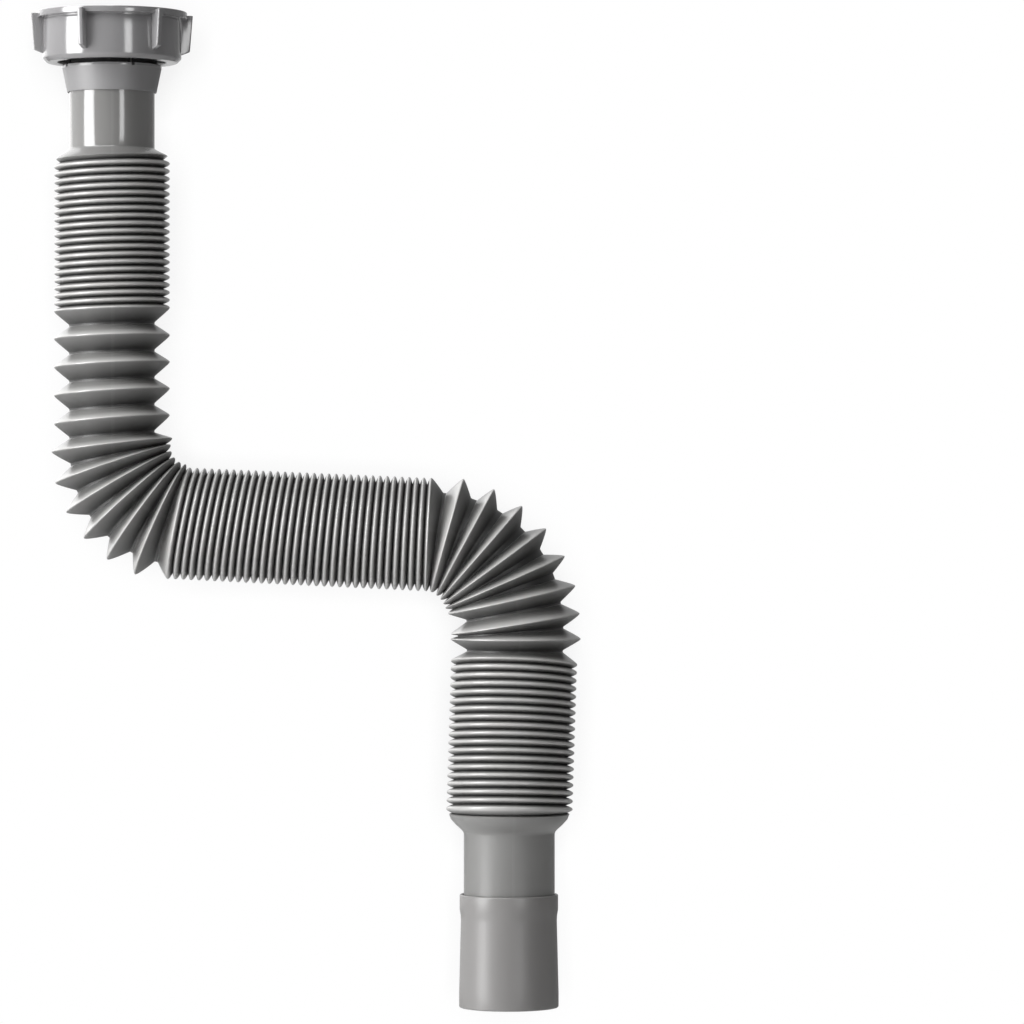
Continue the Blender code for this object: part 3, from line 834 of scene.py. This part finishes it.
def build_nut(context):
    """The union nut: a turned body with a rim and a thread, and six slim lugs for the hand."""
    sizes = context.scene.trap_nut
    levels = heights()
    bottom = -sizes.nut_height
    bore = sizes.thread_major
    outline = [
        (bore, 0.0),
        (sizes.rim_radius, 0.0),
        (sizes.rim_radius, -sizes.rim_height),
        (sizes.nut_radius - sizes.rim_undercut, -sizes.rim_height),
        (sizes.nut_radius - sizes.rim_undercut, -sizes.rim_height - 2.0 * sizes.rim_undercut),
        (sizes.nut_radius, -sizes.rim_height - 3.0 * sizes.rim_undercut),
        (sizes.nut_radius, bottom + sizes.chamfer),
        (sizes.nut_radius - sizes.chamfer, bottom),
        (sizes.hole_radius, bottom),
        (sizes.hole_radius, levels["floor_top"]),
        (bore, levels["floor_top"]),
    ]
    nut = turn_outline(outline, sizes.segments)
    bevel_edges(nut, 0.00035, 2, 25.0)
    half = sizes.lug_thickness / 2.0
    for index in range(LUGS):
        lug = add_block(
            (sizes.nut_radius - LUG_SEAT, -half, -sizes.lug_inset - sizes.lug_length),
            (sizes.nut_radius + sizes.lug_reach, half, -sizes.lug_inset),
            sizes.first_lug + index * 2.0 * math.pi / LUGS, sizes.lug_taper, sizes.lug_foot,
        )
        bevel_edges(lug, 0.0004, 3, 40.0)
        combine(nut, lug, "UNION")
    combine(nut, thread_ridge(sizes), "UNION")
    finish = plastic_finish("Glossy grey plastic", context.scene.trap_colours.nut, 0.14, 1.0)
    dress(nut, "union_nut_skin", finish, sharp_degrees=34.0)
    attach(nut, "nut")
    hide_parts("union_nut")


def build_collar(context):
    """The thrust collar: a slotted band under the nut, hooks above its floor, and a cone down to the neck."""
    sizes = context.scene.trap_nut
    levels = heights()
    bore = context.scene.trap_hose.neck_radius + CLEARANCE
    throat = sizes.collar_band - sizes.collar_groove
    edge = -sizes.nut_height - sizes.collar_gap
    outline = [
        (bore, levels["hook_top"]),
        (sizes.hook_radius - HOOK_SLANT, levels["hook_top"]),
        (sizes.hook_radius, levels["hook_top"] - HOOK_SLANT),
        (sizes.hook_radius, levels["hook_bottom"]),
        (throat, levels["hook_bottom"]),
        (throat, edge),
        (sizes.collar_band, edge),
        (sizes.collar_band, levels["band_bottom"]),
        (bore + sizes.collar_lip + LIP_SWELL, levels["collar_bottom"] + LIP_RISE),
        (bore + sizes.collar_lip, levels["collar_bottom"]),
        (bore, levels["collar_bottom"]),
    ]
    collar = turn_outline(outline, sizes.segments)
    bevel_edges(collar, 0.0003, 2, 14.0)
    for index in range(SLOTS):
        slot = add_block(
            (bore - SLOT_REACH, -sizes.slot_width / 2.0, levels["band_bottom"]),
            (sizes.hook_radius + SLOT_REACH, sizes.slot_width / 2.0, levels["hook_top"] + SLOT_REACH),
            sizes.first_slot + index * 2.0 * math.pi / SLOTS,
        )
        combine(collar, slot, "DIFFERENCE")
    dress(collar, "thrust_collar_skin", collar_finish(context.scene.trap_colours), sharp_degrees=34.0)
    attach(collar, "collar")
    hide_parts("thrust_collar")


def build_washer(context):
    """The flat rubber washer on the flange."""
    hose = context.scene.trap_hose
    bottom = heights()["flange_top"] + CLEARANCE
    low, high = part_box("seal_washer")
    inner = hose.flange_radius - WASHER_WIDTH
    outline = [(inner, high.z), (hose.flange_radius, high.z), (hose.flange_radius, bottom), (inner, bottom)]
    washer = turn_outline(outline, context.scene.trap_nut.segments)
    bevel_edges(washer, 0.0005, 3, 40.0)
    dress(washer, "seal_washer_skin", rubber_finish(context.scene.trap_colours), sharp_degrees=50.0)
    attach(washer, "inlet")
    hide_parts("seal_washer")


def build_sleeve(context):
    """The outlet sleeve: a cuff with a rounded bead, a shallow waist and a stop inside."""
    sizes = context.scene.trap_sleeve
    hose = context.scene.trap_hose
    low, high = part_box("outlet_sleeve")
    axis_x = (low.x + high.x) / 2.0
    top = high.z
    foot = top - sizes.length
    bore = hose.lower_neck_radius + CLEARANCE
    stop = top - hose.engagement - CLEARANCE
    outline = [
        (bore, top),
        (sizes.top_radius, top),
        (sizes.top_radius, top - BEAD_HEIGHT),
        (sizes.waist_radius + SLOPE_SWELL, top - SLOPE_END),
        (sizes.waist_radius, top - WAIST_START),
        (sizes.foot_radius, foot + FOOT_HEIGHT),
        (sizes.foot_radius, foot),
        (bore - sizes.stop_width, foot),
        (bore - sizes.stop_width, stop),
        (bore, stop),
    ]
    sleeve = turn_outline(outline, context.scene.trap_nut.segments, axis_x)
    bevel_edges(sleeve, 0.0007, 4, 30.0)
    finish = plastic_finish("Satin grey plastic", context.scene.trap_colours.sleeve, 0.36, 0.3)
    dress(sleeve, "outlet_sleeve_skin", finish, sharp_degrees=50.0)
    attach(sleeve, "outlet")
    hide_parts("outlet_sleeve")


# Finishes

def feed(tree, socket, value):
    """Give an input a value, or link another node's output to it."""
    if isinstance(value, bpy.types.NodeSocket):
        tree.links.new(value, socket)
    else:
        socket.default_value = value


def new_node(tree, kind, settings=None, **links):
    """Add a shader node. Each further argument is an input, given as a value or as a socket to link."""
    node = tree.nodes.new("ShaderNode" + kind)
    for name, value in (settings or {}).items():
        setattr(node, name, value)
    for name, value in links.items():
        feed(tree, next(socket for socket in node.inputs if socket.name == name and socket.enabled), value)
    return node


def maths(tree, operation, first, second=0.0):
    """A maths node's result."""
    node = tree.nodes.new("ShaderNodeMath")
    node.operation = operation
    feed(tree, node.inputs[0], first)
    feed(tree, node.inputs[1], second)
    return node.outputs[0]


def add(tree, first, second):
    """The two values' sum."""
    return maths(tree, "ADD", first, second)


def times(tree, first, second):
    """The two values' product."""
    return maths(tree, "MULTIPLY", first, second)


def rest_of(tree, share):
    """What is left of one after this share."""
    return maths(tree, "SUBTRACT", 1.0, share)


def shaded(tree, colour, shade):
    """The colour made lighter or darker by the shade."""
    return new_node(tree, "VectorMath", {"operation": "SCALE"}, Vector=colour, Scale=shade).outputs["Vector"]


def range_of(tree, value, low, high, to_low, to_high):
    """The value carried from one range to another, held at its ends."""
    node = new_node(tree, "MapRange", {"clamp": True}, Value=value)
    for name, limit in (("From Min", low), ("From Max", high), ("To Min", to_low), ("To Max", to_high)):
        node.inputs[name].default_value = limit
    return node.outputs["Result"]


def noise(tree, place, scale, detail, roughness, strength):
    """Noise about 0, times this strength."""
    cloud = new_node(tree, "TexNoise", Vector=place, Scale=scale, Detail=detail, Roughness=roughness)
    return times(tree, maths(tree, "SUBTRACT", cloud.outputs["Fac"], 0.5), strength)


def moulded_skin():
    """Shader group of moulded plastic: slow flow marks and fine grain, in colour, roughness and height."""
    group = bpy.data.node_groups.get("Moulded plastic skin")
    if group is not None:
        return group
    group = bpy.data.node_groups.new("Moulded plastic skin", "ShaderNodeTree")
    sockets = {"INPUT": ("Colour", "Roughness", "Flow", "Grain"), "OUTPUT": ("Colour", "Roughness", "Height")}
    for way, names in sockets.items():
        for name in names:
            kind = "NodeSocketColor" if name == "Colour" else "NodeSocketFloat"
            group.interface.new_socket(name=name, in_out=way, socket_type=kind)
    given = group.nodes.new("NodeGroupInput").outputs
    result = group.nodes.new("NodeGroupOutput").inputs
    place = group.nodes.new("ShaderNodeTexCoord").outputs["Object"]
    flow = noise(group, place, 60.0, 3.0, 0.55, given["Flow"])
    cloud = noise(group, place, 14.0, 2.0, 0.5, given["Flow"])
    grain = noise(group, place, 2600.0, 2.0, 0.6, given["Grain"])
    shade = add(group, 1.0, add(group, cloud, times(group, grain, 0.4)))
    rough = add(group, given["Roughness"], times(group, flow, 0.35))
    group.links.new(shaded(group, given["Colour"], shade), result["Colour"])
    group.links.new(add(group, rough, times(group, grain, 0.25)), result["Roughness"])
    group.links.new(add(group, flow, times(group, grain, 0.12)), result["Height"])
    return group


def new_finish(name):
    """A material with its shader, ready to be wired."""
    material = bpy.data.materials.new(name)
    material.use_nodes = True
    return material, material.node_tree, material.node_tree.nodes["Principled BSDF"]


def add_skin(tree, colour, roughness, flow, grain):
    """The moulded plastic group with its values."""
    skin = tree.nodes.new("ShaderNodeGroup")
    skin.node_tree = moulded_skin()
    for name, value in (("Colour", colour), ("Roughness", roughness), ("Flow", flow), ("Grain", grain)):
        feed(tree, skin.inputs[name], value)
    return skin


def height_of(tree):
    """The point's height on the object, in metres."""
    place = new_node(tree, "TexCoord").outputs["Object"]
    return new_node(tree, "SeparateXYZ", Vector=place).outputs["Z"]


def wire_skin(tree, shader, skin, height, strength, coat):
    """Join the plastic group to the shader, with a bump and a polish of this weight."""
    bump = new_node(tree, "Bump", Height=height, Strength=strength, Distance=0.0004)
    values = {
        "Base Color": skin.outputs["Colour"],
        "Roughness": skin.outputs["Roughness"],
        "Normal": bump.outputs["Normal"],
        "IOR": 1.55,
        "Coat Weight": coat,
        "Coat Roughness": skin.outputs["Roughness"],
        "Coat IOR": 1.6,
    }
    for name, value in values.items():
        feed(tree, shader.inputs[name], value)


def plastic_finish(name, colour, roughness, coat):
    """Moulded grey plastic of this roughness and polish."""
    material, tree, shader = new_finish(name)
    skin = add_skin(tree, (*colour, 1.0), roughness, 0.12, 0.1)
    wire_skin(tree, shader, skin, skin.outputs["Height"], 0.3, coat)
    return material


def collar_finish(colours):
    """Satin plastic of the collar, polished on the band that runs in the nut, with painted shade on all of it
    above the band's edge, up in the nut.
    """
    material, tree, shader = new_finish("Collar plastic")
    band = heights()["band_bottom"]
    roughness = range_of(tree, height_of(tree), band - 0.0003, band + 0.0003, 0.5, 0.16)
    edge = -bpy.context.scene.trap_nut.nut_height - bpy.context.scene.trap_nut.collar_gap
    # Painted shade: the colour falls to a tenth from the band's edge up, where the collar runs into the nut.
    shade = range_of(tree, height_of(tree), edge - 0.0001, edge + 0.0002, 1.0, 0.1)
    skin = add_skin(tree, shaded(tree, colours.nut, shade), roughness, 0.12, 0.1)
    wire_skin(tree, shader, skin, skin.outputs["Height"], 0.3, 0.4)
    return material


def hose_finish(colours):
    """Blown grey plastic of the hose: a faint mould seam down its front and back, rougher grooves with
    painted shade in them, and a painted highlight on the crests.
    """
    material, tree, shader = new_finish("Blown grey plastic")
    seam = new_node(tree, "Attribute", {"attribute_name": "mould_seam"}).outputs["Fac"]
    height = new_node(tree, "Attribute", {"attribute_name": "fold_height_shade"}).outputs["Fac"]
    line = range_of(tree, maths(tree, "ABSOLUTE", seam), 0.9992, 0.99996, 0.0, 1.0)
    # Painted shade: the colour darkens towards the grooves and on the lower flanks of open folds.
    painted_groove_shade = range_of(tree, height, 0.05, 0.8, 0.10, 0.9)
    # Painted highlight: the crests are made lighter.
    ridge = range_of(tree, height, 0.81, 0.98, 0.0, 1.1)
    shade = add(tree, add(tree, painted_groove_shade, ridge), times(tree, line, 0.14))
    polish = range_of(tree, height_of(tree), -0.0600, -0.0555, 0.0, 1.0)
    satin = range_of(tree, height, 0.2, 0.8, 0.55, 0.3)
    roughness = add(tree, times(tree, satin, rest_of(tree, polish)), times(tree, polish, 0.13))
    skin = add_skin(tree, shaded(tree, colours.hose, shade), roughness, 0.16, 0.1)
    raised = add(tree, skin.outputs["Height"], times(tree, line, 0.2))
    wire_skin(tree, shader, skin, raised, 0.35, 0.8)
    return material


def rubber_finish(colours):
    """Matt black rubber."""
    material, tree, shader = new_finish("Black rubber")
    skin = add_skin(tree, (*colours.rubber, 1.0), 0.6, 0.3, 0.8)
    wire_skin(tree, shader, skin, skin.outputs["Height"], 0.5, 0.0)
    return material


# Stage

# Lamps: azimuth from the camera's side towards +X and elevation in degrees, distance from the aim, width and
# height in metres, and power in watts
LAMP_AIM = Vector((0.08, 0.0, -0.2))
LAMPS = (
    ("Broad soft key", -62.0, 14.0, 1.2, 0.62, 1.3, 20.0),
    ("Slim right strip", 29.0, 6.0, 1.6, 0.34, 0.9, 4.0),
    ("Top strip", -35.0, 55.0, 1.3, 1.3, 0.30, 7.5),
    ("Back fill", -150.0, 25.0, 1.6, 1.2, 1.2, 3.0),
)


def add_lamp(name, azimuth, elevation, distance, width, height, power):
    """A soft rectangular lamp that looks at the aim."""
    put_down_all()
    turn = math.radians(azimuth)
    rise = math.radians(elevation)
    away = Vector((math.sin(turn) * math.cos(rise), -math.cos(turn) * math.cos(rise), math.sin(rise)))
    bpy.ops.object.light_add(type="AREA", location=LAMP_AIM + distance * away)
    lamp = bpy.context.active_object
    lamp.name = name
    lamp.rotation_euler = away.to_track_quat("Z", "Y").to_euler()
    lamp.data.shape = "RECTANGLE"
    lamp.data.size = width
    lamp.data.size_y = height
    lamp.data.energy = power


def build_world():
    """Air that shows white to the camera and in reflections, and lights the object at a lower level."""
    world = bpy.data.worlds.new("White room")
    bpy.context.scene.world = world
    world.use_nodes = True
    tree = world.node_tree
    tree.nodes.clear()
    seen = new_node(tree, "LightPath").outputs
    way = new_node(tree, "SeparateXYZ", Vector=new_node(tree, "TexCoord").outputs["Generated"]).outputs
    behind = range_of(tree, way["Y"], -0.5, 0.7, 0.03, 1.0)
    leftward = range_of(tree, way["X"], -0.6, 0.6, 0.85, 0.22)
    fill_side = range_of(tree, way["X"], -0.7, 0.7, 0.16, 0.02)
    direct = maths(tree, "MAXIMUM", seen["Is Camera Ray"], seen["Is Transmission Ray"])
    mirrored = times(tree, seen["Is Glossy Ray"], times(tree, behind, leftward))
    fill = times(tree, rest_of(tree, seen["Is Glossy Ray"]), fill_side)
    level = maths(tree, "MAXIMUM", direct, add(tree, mirrored, fill))
    back = new_node(tree, "Background", Color=(1.0, 1.0, 1.0, 1.0), Strength=level)
    out = tree.nodes.new("ShaderNodeOutputWorld")
    tree.links.new(back.outputs["Background"], out.inputs["Surface"])


def add_plane(name, location, rotation, size, material):
    """A flat square of the stage."""
    put_down_all()
    bpy.ops.mesh.primitive_plane_add(size=size, location=location, rotation=rotation)
    plane = bpy.context.active_object
    plane.name = name
    plane.data.materials.append(material)


def clear_from(tree, surface, hidden):
    """Let this surface of the stage be clear where hidden is 1."""
    clear = new_node(tree, "BsdfTransparent", Color=(1.0, 1.0, 1.0, 1.0))
    mix = tree.nodes.new("ShaderNodeMixShader")
    tree.links.new(hidden, mix.inputs["Fac"])
    tree.links.new(surface, mix.inputs[1])
    tree.links.new(clear.outputs["BSDF"], mix.inputs[2])
    tree.links.new(mix.outputs["Shader"], tree.nodes["Material Output"].inputs["Surface"])


def floor_finish(colour):
    """Pale floor that shows white to the camera."""
    material, tree, shader = new_finish("Pale floor")
    shader.inputs["Base Color"].default_value = (*colour, 1.0)
    shader.inputs["Roughness"].default_value = 0.7
    seen = new_node(tree, "LightPath").outputs["Is Camera Ray"]
    shader.inputs["Emission Color"].default_value = (1.0, 1.0, 1.0, 1.0)
    tree.links.new(times(tree, seen, 0.85), shader.inputs["Emission Strength"])
    below = new_node(tree, "NewGeometry").outputs["Backfacing"]
    clear_from(tree, shader.outputs["BSDF"], times(tree, seen, below))
    return material


def backdrop_finish():
    """White glowing card close behind the object, with a painted shadow where the object is near, clear from
    behind and in reflections.
    """
    material, tree, shader = new_finish("White card")
    tree.nodes.remove(shader)
    # Painted shadow: the card's glow dims by ambient occlusion where the object is near.
    open_sky = new_node(tree, "AmbientOcclusion", {"samples": 8}, Distance=0.026).outputs["AO"]
    white = range_of(tree, open_sky, 0.35, 0.93, 0.72, 1.0)
    glow = new_node(tree, "Emission", Color=(1.0, 1.0, 1.0, 1.0), Strength=white)
    seen = new_node(tree, "LightPath").outputs["Is Camera Ray"]
    front = rest_of(tree, new_node(tree, "NewGeometry").outputs["Backfacing"])
    clear_from(tree, glow.outputs["Emission"], rest_of(tree, times(tree, seen, front)))
    return material


def build_stage(context):
    """Camera, lamps, white room, pale floor and white card."""
    scene = context.scene
    scene.view_settings.view_transform = "Standard"
    build_world()
    add_plane("Floor", (0.1, 0.6, -0.62), (0.0, 0.0, 0.0), 3.2, floor_finish(scene.trap_colours.floor))
    add_plane("Card", (0.16, 0.037, -0.2), UPRIGHT, 0.7, backdrop_finish())
    for lamp in LAMPS:
        add_lamp(*lamp)
    put_down_all()
    bpy.ops.object.camera_add(location=(0.16, -2.0, -0.1997), rotation=UPRIGHT)
    camera = bpy.context.active_object
    camera.name = "Camera"
    camera.data.sensor_width = 36.0
    camera.data.lens = 175.8
    scene.camera = camera


# The add-on: operators, panel and registration

class Step:
    """One step of the work, which runs its own builder."""

    def execute(self, context):
        """Build this piece or group."""
        self.build(context)
        return {"FINISHED"}


class BuildHose(Step, bpy.types.Operator):
    """Skin the corrugated hose, stretch by stretch"""

    bl_idname = "trap.build_hose"
    bl_label = "Hose"
    build = staticmethod(build_hose)


class BuildNut(Step, bpy.types.Operator):
    """Turn the union nut and join its lugs and thread"""

    bl_idname = "trap.build_nut"
    bl_label = "Union nut"
    build = staticmethod(build_nut)


class BuildCollar(Step, bpy.types.Operator):
    """Turn the thrust collar and cut its slots"""

    bl_idname = "trap.build_collar"
    bl_label = "Thrust collar"
    build = staticmethod(build_collar)


class BuildWasher(Step, bpy.types.Operator):
    """Turn the rubber washer"""

    bl_idname = "trap.build_washer"
    bl_label = "Seal washer"
    build = staticmethod(build_washer)


class BuildSleeve(Step, bpy.types.Operator):
    """Turn the outlet sleeve"""

    bl_idname = "trap.build_sleeve"
    bl_label = "Outlet sleeve"
    build = staticmethod(build_sleeve)


class BuildStage(Step, bpy.types.Operator):
    """Set up the camera, lamps, white room and floor"""

    bl_idname = "trap.build_stage"
    bl_label = "Stage"
    build = staticmethod(build_stage)


OPERATORS = (BuildHose, BuildNut, BuildCollar, BuildWasher, BuildSleeve, BuildStage)
GROUPS = {
    "trap_hose": HoseSizes,
    "trap_nut": NutSizes,
    "trap_sleeve": SleeveSizes,
    "trap_colours": TrapColours,
}


class TrapPanel(bpy.types.Panel):
    """Lists the steps and the sizes of the sink trap"""

    bl_idname = "VIEW3D_PT_sink_trap"
    bl_label = "Sink trap"
    bl_space_type = "VIEW_3D"
    bl_region_type = "UI"
    bl_category = "Sink trap"

    def draw(self, context):
        for operator in OPERATORS:
            self.layout.operator(operator.bl_idname)
        for pointer, group in GROUPS.items():
            box = self.layout.box()
            for name in group.__annotations__:
                box.prop(getattr(context.scene, pointer), name, text=name.replace("_", " ").capitalize())


def register():
    """Make the groups, operators and panel known to Blender."""
    for item in (*GROUPS.values(), *OPERATORS, TrapPanel):
        bpy.utils.register_class(item)
    for pointer, group in GROUPS.items():
        setattr(bpy.types.Scene, pointer, bpy.props.PointerProperty(type=group))


def unregister():
    """Take them away again."""
    for pointer in GROUPS:
        delattr(bpy.types.Scene, pointer)
    for item in (TrapPanel, *OPERATORS, *GROUPS.values()):
        bpy.utils.unregister_class(item)


def main():
    """Build every piece and the stage."""
    register()
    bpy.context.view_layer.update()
    bpy.ops.trap.build_hose()
    bpy.ops.trap.build_nut()
    bpy.ops.trap.build_collar()
    bpy.ops.trap.build_washer()
    bpy.ops.trap.build_sleeve()
    bpy.ops.trap.build_stage()


if __name__ == "__main__":
    main()
